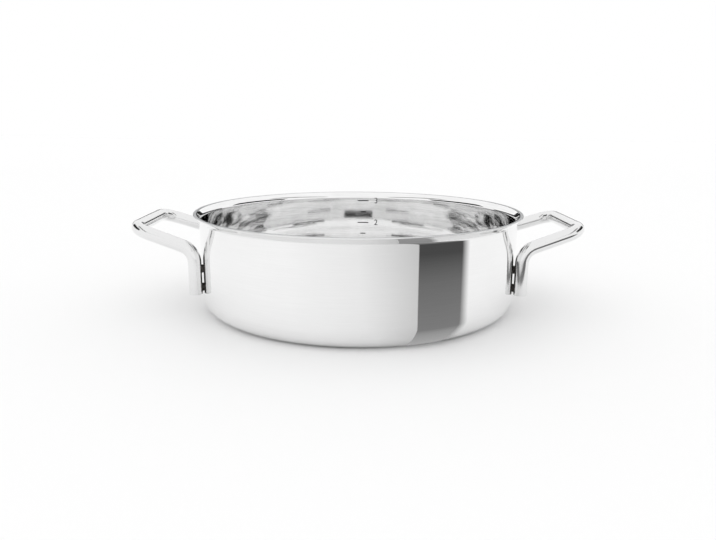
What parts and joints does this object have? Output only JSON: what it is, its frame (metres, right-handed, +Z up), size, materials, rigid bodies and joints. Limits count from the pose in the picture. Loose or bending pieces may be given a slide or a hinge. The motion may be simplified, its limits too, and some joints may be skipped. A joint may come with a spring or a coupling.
{
  "type": "braising pot",
  "caption": "Low round braising pot of clad steel with a flared pouring lip, a litre scale inside and welded loop handles of round bar.",
  "frame": {"origin": "centre of the flat base, on the surface that the pot stands on", "axes": "+Z up along the pot's axis, +X through the middle of the right handle, -Y towards the viewer of the picture"},
  "size_m": [0.3426, 0.2572, 0.0756],
  "materials": {
    "polished_outside": "polished",
    "core": "satin",
    "turned_inside": "polished",
    "satin_bar": "satin",
    "weld_metal": "satin"
  },
  "bodies": {
    "root": {"outer_shell": "polished_outside", "aluminium_core": "core", "inner_liner": "turned_inside", "right_handle": "satin_bar", "left_handle": "satin_bar", "weld_right_front_lower": "weld_metal", "weld_right_front_upper": "weld_metal", "weld_right_rear_lower": "weld_metal", "weld_right_rear_upper": "weld_metal", "weld_left_front_lower": "weld_metal", "weld_left_front_upper": "weld_metal", "weld_left_rear_lower": "weld_metal", "weld_left_rear_upper": "weld_metal"}
  },
  "joints": []
}
